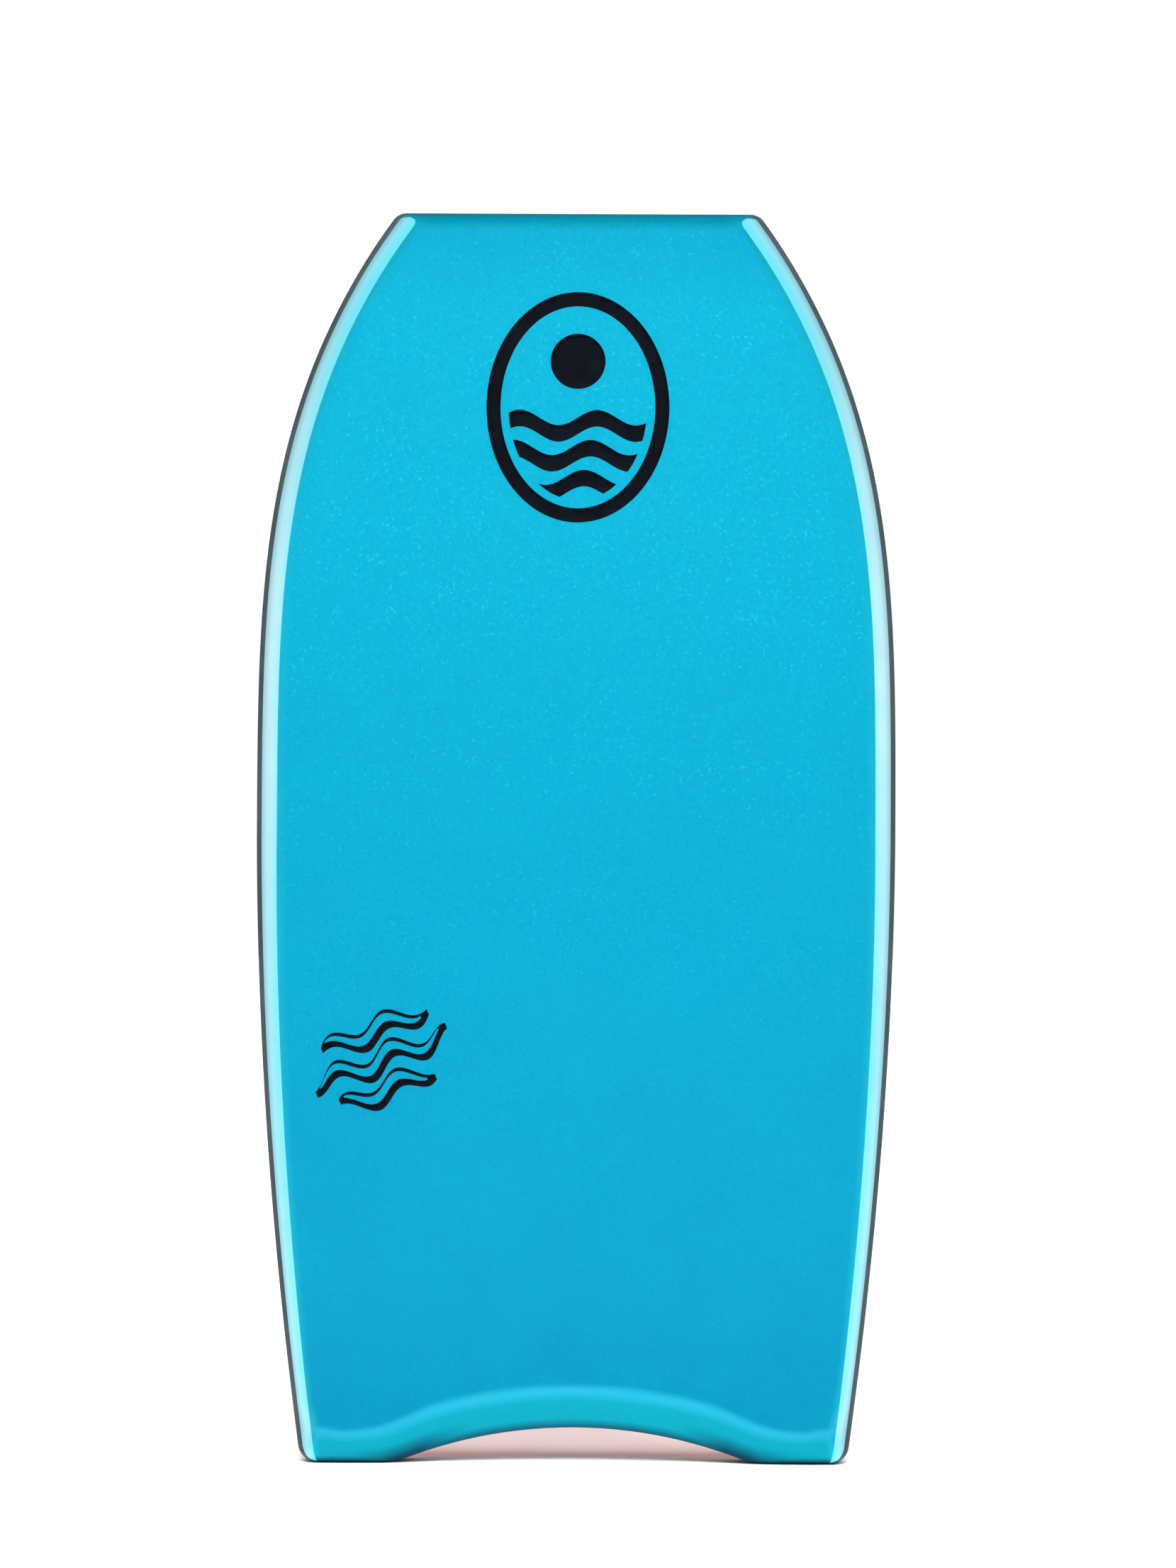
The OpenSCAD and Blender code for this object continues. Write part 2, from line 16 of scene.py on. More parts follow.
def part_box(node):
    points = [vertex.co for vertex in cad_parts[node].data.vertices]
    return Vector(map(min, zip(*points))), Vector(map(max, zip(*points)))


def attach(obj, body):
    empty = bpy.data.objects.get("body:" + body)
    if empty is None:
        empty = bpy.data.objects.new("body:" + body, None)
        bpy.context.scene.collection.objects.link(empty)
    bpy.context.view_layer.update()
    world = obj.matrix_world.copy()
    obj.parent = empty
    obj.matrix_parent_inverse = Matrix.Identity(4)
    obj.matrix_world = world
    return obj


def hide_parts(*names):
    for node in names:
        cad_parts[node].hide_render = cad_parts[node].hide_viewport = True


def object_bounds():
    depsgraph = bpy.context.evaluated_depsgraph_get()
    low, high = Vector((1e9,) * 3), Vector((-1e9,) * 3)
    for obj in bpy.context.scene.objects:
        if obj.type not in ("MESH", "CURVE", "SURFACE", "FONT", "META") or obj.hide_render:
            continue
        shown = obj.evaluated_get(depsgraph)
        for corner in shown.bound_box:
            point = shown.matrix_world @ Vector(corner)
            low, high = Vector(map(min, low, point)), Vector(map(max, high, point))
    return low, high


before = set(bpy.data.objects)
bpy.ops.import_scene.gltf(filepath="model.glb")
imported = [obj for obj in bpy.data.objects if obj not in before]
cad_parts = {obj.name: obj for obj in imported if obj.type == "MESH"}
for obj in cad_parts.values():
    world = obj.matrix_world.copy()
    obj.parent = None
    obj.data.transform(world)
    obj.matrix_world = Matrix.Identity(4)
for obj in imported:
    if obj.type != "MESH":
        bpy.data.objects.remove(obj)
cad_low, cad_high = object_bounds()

BODY = "root"

# ---- Board ----------------------------------------------------------------

LENGTH = cad_high.z - cad_low.z
WIDTH = cad_high.x - cad_low.x
NOSE_WIDTH = 0.308
TAIL_WIDTH = 0.467
WIDE_HEIGHT = 0.545
NOSE_POWER = 3.3
TAIL_POWER = 1.9
NOSE_CORNER = 0.005
TAIL_CORNER = 0.014

CRESCENT_DEPTH = 0.030
CRESCENT_RADIUS = 0.400
CRESCENT_FLARE = 0.140

MID_THICKNESS = 0.054
NOSE_THICKNESS = 0.046
TAIL_THICKNESS = 0.050
CROWN = 0.002
NOSE_ROCKER = 0.022
ROCKER_START = 0.620
TAIL_KICK = 0.006
KICK_END = 0.150
LEAN = math.radians(1.2)
SLICK_BACK = 0.0184

CHINE_RUN = 0.027
CHINE_ROUND = 0.012
TAIL_CHINE = 0.72
TAIL_RUN = 0.041
TIP_NARROWING = 0.010
TIP_START, TIP_END = 0.110, 0.205
TAIL_RIDGE = 0.012
TAIL_LOWER = 0.010
TAIL_SLOPE = 0.5
NOSE_RUN = 0.016
# Height of the widest line, as a share of the thickness, and how far from each end it changes
SIDE_PART, TAIL_PART, NOSE_PART = 0.60, 0.52, 0.67
TAIL_BLEND, NOSE_BLEND = 4 * CRESCENT_DEPTH, 0.090

SKIN = 0.0045
RAIL = 0.0045
BUMPER = 0.004
SLICK_SKIN = 0.001
STACK = 0.0046
INK = 0.0002

# Distances in from the outline at the sides, the tail and the nose, from the line where
# the skin meets the rail down to the slick
LEVELS = np.array([
    (0.0042, 0.0006, 0.0010),
    (0.0000, 0.0000, 0.0000),
    (0.0030, 0.0000, 0.0006),
    (0.0066, 0.0000, 0.0022),
    (0.0080, 0.0000, 0.0030),
])
PART_LEVEL, WIDE_LEVEL, LOW_LEVEL, STACK_LEVEL, SLICK_LEVEL = range(5)
# Height of the low level, as a share of the widest line's height
LOW_SHARE = 0.45
# How sharply two bevels join, and how soon the skin has its full thickness in from its edge
CORNER_BLEND = 4
COVER_POWER = 4
# Times that a grid point's column and row are worked out in turn
SETTLE_TURNS = 8

# The chine strip takes this share of the side bevel, and ends in a rounded corner
CHINE_SHARE = 0.61
CHINE_END = 0.0037
CHINE_END_RADIUS = 0.009

# Where the side and tail ridges meet, both give way by up to this distance, within this reach
RIDGE_GIVE = 0.0032
RIDGE_REACH = 0.022


def mix(a, b, t):
    return a + (b - a) * t


def ramp(a, b, v):
    return np.clip((v - a) / (b - a), 0, 1)


def smooth(a, b, v):
    t = ramp(a, b, v)
    return t * t * (3 - 2 * t)


def nose_part(z):
    return ramp(WIDE_HEIGHT, LENGTH, z)


def tail_part(z):
    return 1 - ramp(0, WIDE_HEIGHT, z)


def half_width(z):
    return (
        WIDTH / 2
        - (WIDTH - NOSE_WIDTH) / 2 * nose_part(z) ** NOSE_POWER
        - (WIDTH - TAIL_WIDTH) / 2 * tail_part(z) ** TAIL_POWER
    )


def stretch(z):
    """Makes a distance measured across the board square to the slanting side."""
    nose = (WIDTH - NOSE_WIDTH) / 2 * NOSE_POWER * nose_part(z) ** (NOSE_POWER - 1)
    tail = (WIDTH - TAIL_WIDTH) / 2 * TAIL_POWER * tail_part(z) ** (TAIL_POWER - 1)
    slope = np.where(z > WIDE_HEIGHT, nose / (LENGTH - WIDE_HEIGHT), tail / WIDE_HEIGHT)
    return np.sqrt(1 + slope**2)


def tail_line(x, inwards):
    """Height of the tail's edge moved inwards: an arc that flares into two flat tips."""
    across = np.abs(x)
    centre = CRESCENT_DEPTH - CRESCENT_RADIUS
    radius = CRESCENT_RADIUS + inwards
    run = np.sqrt(radius**2 - CRESCENT_FLARE**2)
    rise = centre + run - inwards
    flare_end = CRESCENT_FLARE + 2 * rise * run / CRESCENT_FLARE
    arc = centre + np.sqrt(np.maximum(radius**2 - across**2, 0))
    flare = inwards + rise * ((flare_end - across) / (flare_end - CRESCENT_FLARE)) ** 2
    tips = np.where(across < flare_end, flare, inwards)
    return np.where(across < CRESCENT_FLARE, arc, tips)


def chine_scale(z):
    return mix(1, TAIL_CHINE, tail_part(z))


def tail_run(x):
    """Width of the tail bevel, which narrows towards the tips."""
    return TAIL_RUN - TIP_NARROWING * smooth(TIP_START, TIP_END, np.abs(x))


def slick_rise(z):
    nose = NOSE_ROCKER * ramp(ROCKER_START, LENGTH, z) ** 2
    return nose + TAIL_KICK * (1 - ramp(0, KICK_END, z)) ** 2


def thickness(z):
    return (
        MID_THICKNESS
        - (MID_THICKNESS - NOSE_THICKNESS) * nose_part(z) ** 2
        - (MID_THICKNESS - TAIL_THICKNESS) * tail_part(z) ** 2
    )


def widest_line(z):
    """Height over the slick of the line where the board is widest."""
    tail = 1 - smooth(CRESCENT_DEPTH, TAIL_BLEND, z)
    nose = smooth(LENGTH - NOSE_BLEND, LENGTH - NOSE_RUN, z)
    share = SIDE_PART + (TAIL_PART - SIDE_PART) * tail + (NOSE_PART - SIDE_PART) * nose
    return thickness(z) * share


def edge_drop(z):
    return thickness(z) - widest_line(z)


def chine_drop(s, z):
    """Fall from the deck at a distance in from the side: a straight bevel that rounds over."""
    run = CHINE_RUN * chine_scale(z)
    curve = CHINE_ROUND * chine_scale(z)
    slope = edge_drop(z) / (run - curve / 2)
    round_over = slope / (2 * curve) * np.maximum(run - s, 0) ** 2
    return np.where(s > run - curve, round_over, slope * (run - curve / 2 - s))


def tail_drop(e, run, z):
    """Fall from the deck towards the tail: a rounded ridge, a bevel and a rounded lower edge."""
    at_lower = TAIL_SLOPE * (run - TAIL_RIDGE / 2 - TAIL_LOWER)
    rest = edge_drop(z) - at_lower - TAIL_SLOPE * TAIL_LOWER
    ridge = TAIL_SLOPE / (2 * TAIL_RIDGE) * np.maximum(run - e, 0) ** 2
    bevel = TAIL_SLOPE * (run - TAIL_RIDGE / 2 - e)
    turn = np.clip((TAIL_LOWER - e) / TAIL_LOWER, 0, 1)
    lower = at_lower + TAIL_SLOPE * (TAIL_LOWER - e) + rest * (1 - np.sqrt(1 - turn**2))
    return np.where(e > run - TAIL_RIDGE, ridge, np.where(e > TAIL_LOWER, bevel, lower))


def nose_drop(e, z):
    turn = np.clip((NOSE_RUN - e) / NOSE_RUN, 0, 1)
    return edge_drop(z) * (1 - np.sqrt(1 - turn**2))


def hump(t):
    """1 at zero, falling smoothly to 0 at 1 and -1."""
    return np.maximum(1 - t**2, 0) ** 2


def rounded_in(own, other, radius):
    """Distance in from one edge, after the corner that it shares with another is rounded."""
    a = 1 - np.minimum(own, radius) / radius
    b = 1 - np.minimum(other, radius) / radius
    inside = radius * (1 - a * np.sqrt(1 - b * b / 2))
    return np.where((own >= radius) | (other >= radius), own, inside)


# ---- Grid -----------------------------------------------------------------


def spread(start, end, count, power=1.0):
    """count steps from start towards end, without the end; a power over 1 crowds the start."""
    return list(start + (end - start) * (np.arange(count) / count) ** power)


STRIP_STEPS, RIDGE_STEPS, INNER_COLUMNS = 9, 9, 56
TAIL_STEPS, NOSE_STEPS, INNER_ROWS = 26, 10, 120
NOSE_END_STEPS = 5
# The inner rows lie closer together over this share of the way up from the tail ridge
LOW_ZONE, LOW_STEPS = 0.03, 10
nose_inset = LEVELS[PART_LEVEL][2]
nose_end_share = (CHINE_END - nose_inset) / (NOSE_RUN - nose_inset)

side_shares = [
    *spread(0, CHINE_SHARE, STRIP_STEPS),
    *spread(CHINE_SHARE, 1, RIDGE_STEPS),
]
tail_shares = spread(0, 1, TAIL_STEPS, 1.4)
nose_shares = [
    *spread(0, nose_end_share, NOSE_END_STEPS),
    *spread(nose_end_share, 1, NOSE_STEPS),
]
inner_across = list(np.sin(np.linspace(-math.pi / 2, math.pi / 2, INNER_COLUMNS + 1)))
inner_up = [
    *spread(0, LOW_ZONE, LOW_STEPS),
    *spread(LOW_ZONE, 1, INNER_ROWS),
    1.0,
]

# For each column: its side, its share of the side bevel (2 between the ridges) and its place
# between the ridges. For each row: its share of the tail bevel and of the nose edge (2 away
# from them) and its place between them.
none = [2.0] * (INNER_COLUMNS + 1)
left, right = [-1.0] * len(side_shares), [1.0] * len(side_shares)
column_side = np.array(left + list(np.sign(inner_across)) + right)
column_share = np.array(side_shares + none + side_shares[::-1])
column_across = np.array(left + inner_across + right)
column_share[len(side_shares)] = column_share[-len(side_shares) - 1] = 1.0

row_tail = np.array(tail_shares + [2.0] * (len(inner_up) + len(nose_shares)))
row_nose = np.array([2.0] * (len(tail_shares) + len(inner_up)) + nose_shares[::-1])
row_up = np.array([0.0] * len(tail_shares) + inner_up + [1.0] * len(nose_shares))
row_tail[len(tail_shares)] = row_nose[-len(nose_shares) - 1] = 1.0

COLUMNS, ROWS = len(column_side), len(row_tail)
ALL_COLUMNS, ALL_ROWS = np.arange(COLUMNS), np.arange(ROWS)
STRIP_ROWS = ROWS - 1 - NOSE_END_STEPS


class Grid:
    """The chosen columns and rows of the board's grid, and the points on them."""

    def __init__(self, columns, rows):
        i, j = np.meshgrid(columns, rows)
        self.side, self.across = column_side[i], column_across[i]
        self.tail, self.nose, self.up = row_tail[j], row_nose[j], row_up[j]
        self.near_nose = self.nose <= 1
        self.between = column_share[i] > 1
        self.share = self.strip_share(column_share[i])
        self.start_z = LENGTH * j / (ROWS - 1)

    def strip_share(self, share):
        """Columns bend outwards near the nose, which rounds the end of the chine strip."""
        from_nose = np.where(self.near_nose, self.nose * NOSE_RUN, NOSE_RUN)
        turn = np.clip((CHINE_END + CHINE_END_RADIUS - from_nose) / CHINE_END_RADIUS, 0, 1)
        run = CHINE_RUN * chine_scale(LENGTH)
        cut = CHINE_END_RADIUS / run * (1 - np.sqrt(1 - turn**2))
        split = CHINE_SHARE - cut
        in_strip = share * split / CHINE_SHARE
        past = split + (share - CHINE_SHARE) * (1 - split) / (1 - CHINE_SHARE)
        bent = np.where(share <= CHINE_SHARE, in_strip, past)
        return np.where(share > 1, share, bent)

    def distances(self, x, z, insets):
        """Distances in from the side and from the nearer end, before any corner is rounded."""
        side, tail, nose = insets
        from_side = self.share * (CHINE_RUN * chine_scale(z) - side)
        from_end = np.where(
            self.near_nose, self.nose * (NOSE_RUN - nose), self.tail * (tail_run(x) - tail)
        )
        corner = np.where(self.near_nose, NOSE_CORNER, TAIL_CORNER)
        return from_side, from_end, corner

    def plan(self, insets):
        """Places in plan, found by going between column and row a few times."""
        side, tail, nose = insets
        x, z = 0.0 * self.start_z, self.start_z
        for _ in range(SETTLE_TURNS):
            from_side, from_end, corner = self.distances(x, z, insets)
            ridge = half_width(z) - CHINE_RUN * chine_scale(z) * stretch(z)
            edge_in = side + rounded_in(from_side, from_end, corner)
            edge = self.side * (half_width(z) - edge_in * stretch(z))
            x = np.where(self.between, ridge * self.across, edge)
            end_in = rounded_in(from_end, from_side, corner)
            at_tail = tail_line(x, tail + end_in)
            at_nose = LENGTH - nose - end_in
            middle = mix(tail_line(x, tail_run(x)), LENGTH - NOSE_RUN, self.up)
            z = np.where(self.tail <= 1, at_tail, np.where(self.near_nose, at_nose, middle))
        return x, z

    def bevel_distances(self, x, z):
        """Distances in from the side and the tail, less where the two ridges meet."""
        from_side, from_end, corner = self.distances(x, z, LEVELS[PART_LEVEL])
        side_run, end_run = CHINE_RUN * chine_scale(z), tail_run(x)
        side_in = (half_width(z) - np.abs(x)) / stretch(z)
        past_ridge = end_run + z - tail_line(x, end_run)
        on_bevel = LEVELS[PART_LEVEL][1] + rounded_in(from_end, from_side, corner)
        tail_in = np.where(self.tail <= 1, on_bevel, past_ridge)
        near = hump((side_in - side_run) / RIDGE_REACH) * hump((tail_in - end_run) / RIDGE_REACH)
        return side_in - RIDGE_GIVE * near, tail_in - RIDGE_GIVE * near

    def deck_height(self, x, z):
        side_in, tail_in = self.bevel_distances(x, z)
        side = chine_drop(side_in, z)
        tail = tail_drop(tail_in, tail_run(x), z)
        nose = np.where(self.near_nose, nose_drop(LENGTH - z, z), 0)
        both = (side**CORNER_BLEND + (tail + nose) ** CORNER_BLEND) ** (1 / CORNER_BLEND)
        crown = CROWN * (x / half_width(z)) ** 2
        return thickness(z) - crown - np.minimum(edge_drop(z), both)

    def deck(self):
        x, z = self.plan(LEVELS[PART_LEVEL])
        return place(x, z, self.deck_height(x, z))

    def runs(self):
        """How far each point is across the side bevel, the tail bevel and the nose edge: 0 to 1."""
        x, z = self.plan(LEVELS[PART_LEVEL])
        side_in, tail_in = self.bevel_distances(x, z)
        side, tail, nose = LEVELS[PART_LEVEL]
        shares = (
            ramp(side, CHINE_RUN * chine_scale(z), side_in),
            ramp(tail, tail_run(x), tail_in),
            ramp(nose, NOSE_RUN, LENGTH - z),
        )
        return np.stack(shares, axis=-1)

    def core_deck(self):
        """The skin's inner face, which meets its outer face's height at the edge."""
        x, z = self.plan(LEVELS[PART_LEVEL])
        height = self.deck_height(x, z)
        x, z = self.plan(LEVELS[PART_LEVEL] + (RAIL, BUMPER, BUMPER))
        cover = 1.0
        for share in (self.share, self.tail, self.nose):
            cover = cover * (1 - np.maximum(1 - share, 0) ** COVER_POWER)
        return place(x, z, height - SKIN * cover)

    def edge(self, level, inner=False):
        """A line of the board's edge at one level, on its outer face or on the core's."""
        if level == PART_LEVEL:
            return self.core_deck() if inner else self.deck()
        insets = LEVELS[level]
        if inner:
            # This face is straight from the top of the stack down to the slick
            from_level = SLICK_LEVEL if level == STACK_LEVEL else level
            insets = LEVELS[from_level] + (RAIL, BUMPER, BUMPER)
        x, z = self.plan(insets)
        widest = widest_line(z)
        heights = {
            WIDE_LEVEL: widest,
            LOW_LEVEL: LOW_SHARE * widest,
            STACK_LEVEL: STACK,
            SLICK_LEVEL: SLICK_SKIN,
        }
        return place(x, z, heights[level])


def place(x, z, height):
    y = SLICK_BACK + z * math.tan(LEAN) - slick_rise(z) - height
    return np.stack([x, y, z], axis=-1)


def deck_y(x, z):
    """Where the open deck lies, away from its edges."""
    height = thickness(z) - CROWN * (x / half_width(z)) ** 2
    return SLICK_BACK + z * math.tan(LEAN) - slick_rise(z) - height


def curve_through(points, steps):
    """A smooth line through a few rows of points, along their first axis."""
    padded = np.concatenate([2 * points[:1] - points[1:2], points, 2 * points[-1:] - points[-2:-1]])
    rows = []
    for k in range(len(points) - 1):
        a, b, c, d = padded[k : k + 4]
        for t in np.arange(steps) / steps:
            rows.append(
                0.5 * (2 * b + (c - a) * t + (2 * a - 5 * b + 4 * c - d) * t**2
                       + (3 * b - a - 3 * c + d) * t**3)
            )
    return np.array([*rows, points[-1]])


# ---- Pieces ---------------------------------------------------------------

# The rounding of sharp edges: its width, its segments and the least angle that is rounded
EDGE_BEVEL, BEVEL_SEGMENTS, BEVEL_ANGLE = 0.0005, 3, math.radians(50)
# Steps from each level of an edge strip to the next
EDGE_STEPS = 5


def shell_faces(columns, rows, kept):
    """Quads of a closed solid between two grids of equal size, made of the cells in kept."""
    far = columns * rows
    faces = []
    padded = np.zeros((rows + 1, columns + 1), bool)
    padded[1:-1, 1:-1] = kept
    for j, i in np.argwhere(kept):
        a = j * columns + i
        b, c, d = a + columns, a + columns + 1, a + 1
        faces += [(a, d, c, b), (a + far, b + far, c + far, d + far)]
        if not padded[j, i + 1]:
            faces.append((a, a + far, d + far, d))
        if not padded[j + 2, i + 1]:
            faces.append((b, c, c + far, b + far))
        if not padded[j + 1, i]:
            faces.append((a, b, b + far, a + far))
        if not padded[j + 1, i + 2]:
            faces.append((d, d + far, c + far, c))
    return faces


def finished(name, vertices, faces, material, nodes, bevel=EDGE_BEVEL, runs=None):
    """A mesh piece that rides on the board and stands for its CAD nodes."""
    used = sorted({v for face in faces for v in face})
    new = {old: n for n, old in enumerate(used)}
    mesh = bpy.data.meshes.new(name)
    mesh.from_pydata(
        [tuple(vertices[v]) for v in used], [], [tuple(new[v] for v in face) for face in faces]
    )
    if runs is not None:
        stored = mesh.attributes.new("runs", "FLOAT_VECTOR", "POINT")
        stored.data.foreach_set("vector", runs[used].ravel())
    mesh.validate()
    mesh.shade_smooth()
    piece = bpy.data.objects.new(name, mesh)
    bpy.context.collection.objects.link(piece)
    mesh.materials.append(material)
    if bevel:
        soft = piece.modifiers.new("edges", "BEVEL")
        soft.width = bevel
        soft.segments = BEVEL_SEGMENTS
        soft.limit_method = "ANGLE"
        soft.angle_limit = BEVEL_ANGLE
        soft.harden_normals = True
        normals = piece.modifiers.new("normals", "WEIGHTED_NORMAL")
        normals.keep_sharp = True
    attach(piece, BODY)
    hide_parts(*nodes)


def shell(name, near, far, material, node, kept=None, flip=False, runs=None):
    rows, columns = near.shape[:2]
    if kept is None:
        kept = np.ones((rows - 1, columns - 1), bool)
    faces = shell_faces(columns, rows, kept)
    if flip:
        faces = [face[::-1] for face in faces]
    vertices = np.concatenate([near.reshape(-1, 3), far.reshape(-1, 3)])
    if runs is not None:
        runs = np.concatenate([runs.reshape(-1, 3)] * 2)
    finished(name, vertices, faces, material, [node], runs=runs)


def deck_piece(material):
    grid = Grid(ALL_COLUMNS, ALL_ROWS)
    kept = np.ones((ROWS - 1, COLUMNS - 1), bool)
    kept[:STRIP_ROWS, :STRIP_STEPS] = False
    kept[:STRIP_ROWS, -STRIP_STEPS:] = False
    shell(
        "deck",
        grid.deck(),
        grid.core_deck(),
        material,
        "deck_skin",
        kept,
        runs=grid.runs(),
    )


def chine_piece(side, columns, material):
    grid = Grid(columns, ALL_ROWS[: STRIP_ROWS + 1])
    shell(
        f"{side}_chine_strip",
        grid.deck(),
        grid.core_deck(),
        material,
        f"{side}_chine",
        runs=grid.runs(),
    )


def edge_strip(name, columns, rows, material, node, flip):
    """A strip round one side of the board's edge, from the skin down to the slick."""
    grid = Grid(columns, rows)
    along_side = len(columns) == 1
    levels = range(len(LEVELS))
    outer = np.array([grid.edge(k).reshape(-1, 3) for k in levels])
    inner = np.array([grid.edge(k, inner=True).reshape(-1, 3) for k in levels])
    near = curve_through(outer, EDGE_STEPS)
    steps = np.linspace(0, SLICK_LEVEL, len(near))
    lower = np.minimum(steps.astype(int), SLICK_LEVEL - 1)
    part = (steps - lower)[:, None, None]
    far = inner[lower] * (1 - part) + inner[lower + 1] * part
    if along_side:
        near, far = near.swapaxes(0, 1), far.swapaxes(0, 1)
    shell(name, near, far, material, node, flip=flip)


def slick_piece(material):
    grid = Grid(ALL_COLUMNS, ALL_ROWS)
    x, z = grid.plan(LEVELS[SLICK_LEVEL])
    shell("slick_sheet", place(x, z, SLICK_SKIN), place(x, z, 0.0), material, "slick")


# ---- Prints ---------------------------------------------------------------


def ellipse(rx, ry, steps=120):
    turn = np.arange(steps) / steps * 2 * math.pi
    return np.stack([rx * np.cos(turn), ry * np.sin(turn)], axis=-1)


def wave(reach, height, length, width, phase=0.0, taper=1.0, steps=90):
    """A band along a wave, thinning to its ends."""
    x = np.linspace(-reach, reach, steps + 1)
    middle = height * np.sin(2 * math.pi * x / length + phase)
    half = width / 2 * (1 - taper * (np.abs(x) / reach) ** 3)
    over = np.stack([x, middle + half], axis=-1)
    under = np.stack([x, middle - half], axis=-1)
    return np.concatenate([over, under[::-1]])


def inside(points, loop):
    """Which points lie inside a closed loop."""
    x, y = points[:, :1], points[:, 1:]
    x0, y0 = loop[:, 0], loop[:, 1]
    x1, y1 = np.roll(x0, -1), np.roll(y0, -1)
    spans = (y0 > y) != (y1 > y)
    with np.errstate(divide="ignore", invalid="ignore"):
        cross = x0 + (y - y0) / (y1 - y0) * (x1 - x0)
    return (spans & (x < cross)).sum(axis=1) % 2 == 1


def shifted(loop, x, z, tilt=0.0):
    c, s = math.cos(tilt), math.sin(tilt)
    return loop @ np.array([[c, s], [-s, c]]) + (x, z)


def print_piece(name, loops, inked, material, node, spacing=0.006):
    """A thin print on the deck. inked() says which points of a fine triangulation carry ink."""
    points, edges = [], []
    for loop in loops:
        first, count = len(points), len(loop)
        points += [Vector(p) for p in loop]
        edges += [(first + n, first + (n + 1) % count) for n in range(count)]
    low = np.min([loop.min(0) for loop in loops], axis=0)
    high = np.max([loop.max(0) for loop in loops], axis=0)
    for x in np.arange(low[0], high[0], spacing):
        points += [Vector((x, z)) for z in np.arange(low[1], high[1], spacing)]
    flat, _, faces, *_ = delaunay_2d_cdt(points, edges, [], 0, 1e-6)
    flat = np.array([tuple(p) for p in flat])
    centres = np.array([flat[list(face)].mean(0) for face in faces])
    faces = [tuple(face) for face, ink in zip(faces, inked(centres), strict=True) if ink]
    count = len(flat)
    y = deck_y(flat[:, 0], flat[:, 1])
    top = np.stack([flat[:, 0], y - INK, flat[:, 1]], axis=-1)
    under = np.stack([flat[:, 0], y + INK, flat[:, 1]], axis=-1)
    rims = {}
    for face in faces:
        for a, b in zip(face, face[1:] + face[:1], strict=True):
            rims[(a, b)] = True
    walls = [(b, a, a + count, b + count) for a, b in rims if (b, a) not in rims]
    solid = faces + [tuple(v + count for v in face[::-1]) for face in faces] + walls
    finished(name, np.concatenate([top, under]), solid, material, [node], bevel=0)


EMBLEM_LOW, EMBLEM_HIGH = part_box("deck_emblem")
EMBLEM_WIDTH = EMBLEM_HIGH.x - EMBLEM_LOW.x
EMBLEM_HEIGHT = EMBLEM_HIGH.z - EMBLEM_LOW.z
EMBLEM_MIDDLE = (EMBLEM_HIGH.z + EMBLEM_LOW.z) / 2
EMBLEM_RING = 0.012
EMBLEM_GAP = 0.007
# The disc's radius and height, and the waves' first fall and step, as shares of the emblem
DISC_RADIUS, DISC_RISE = 0.15, 0.2
WAVE_FALL, WAVE_STEP = 0.08, 0.13
WAVE_HEIGHT, WAVE_LENGTH, WAVE_WIDTH = 0.0065, 0.066, 0.014
WAVE_TURN = math.radians(30)


def emblem(material):
    """An oval ring round a disc over three waves."""
    inner_rx = EMBLEM_WIDTH / 2 - EMBLEM_RING
    inner_ry = EMBLEM_HEIGHT / 2 - EMBLEM_RING
    ring_out = shifted(ellipse(EMBLEM_WIDTH / 2, EMBLEM_HEIGHT / 2), 0, EMBLEM_MIDDLE)
    ring_in = shifted(ellipse(inner_rx, inner_ry), 0, EMBLEM_MIDDLE)
    window = shifted(ellipse(inner_rx - EMBLEM_GAP, inner_ry - EMBLEM_GAP), 0, EMBLEM_MIDDLE)
    radius = DISC_RADIUS * EMBLEM_WIDTH
    disc = shifted(ellipse(radius, radius, steps=72), 0, EMBLEM_MIDDLE + DISC_RISE * EMBLEM_HEIGHT)
    waves = []
    for n in range(3):
        crest = wave(EMBLEM_WIDTH / 2, WAVE_HEIGHT, WAVE_LENGTH, WAVE_WIDTH, WAVE_TURN * n, taper=0)
        fall = EMBLEM_HEIGHT * (WAVE_FALL + WAVE_STEP * n)
        waves.append(shifted(crest, 0, EMBLEM_MIDDLE - fall))

    def inked(p):
        ring = inside(p, ring_out) & ~inside(p, ring_in)
        crests = np.any([inside(p, w) for w in waves], axis=0) & inside(p, window)
        return ring | inside(p, disc) | crests

    print_piece(
        "emblem_print", [ring_out, ring_in, window, disc, *waves], inked, material, "deck_emblem"
    )


MOTIF_ACROSS = -0.165
MOTIF_MIDDLE = 0.344
MOTIF_TILT = math.radians(22)
# Half length and height of each ripple, and its place from the motif's middle
RIPPLES = (
    (0.048, 0.006, 0.004, 0.025),
    (0.062, 0.007, 0.0, 0.0),
    (0.042, 0.006, -0.004, -0.025),
)
RIPPLE_LENGTH, RIPPLE_WIDTH, RIPPLE_TAPER = 0.050, 0.017, 0.7
# The stroke cut out of a ripple: its width, how much shorter it is, its taper and its shift
CUT_WIDTH, CUT_SHORT, CUT_TAPER = 0.0075, 0.006, 0.8
CUT_SHIFT = (-0.0012, 0.0018)


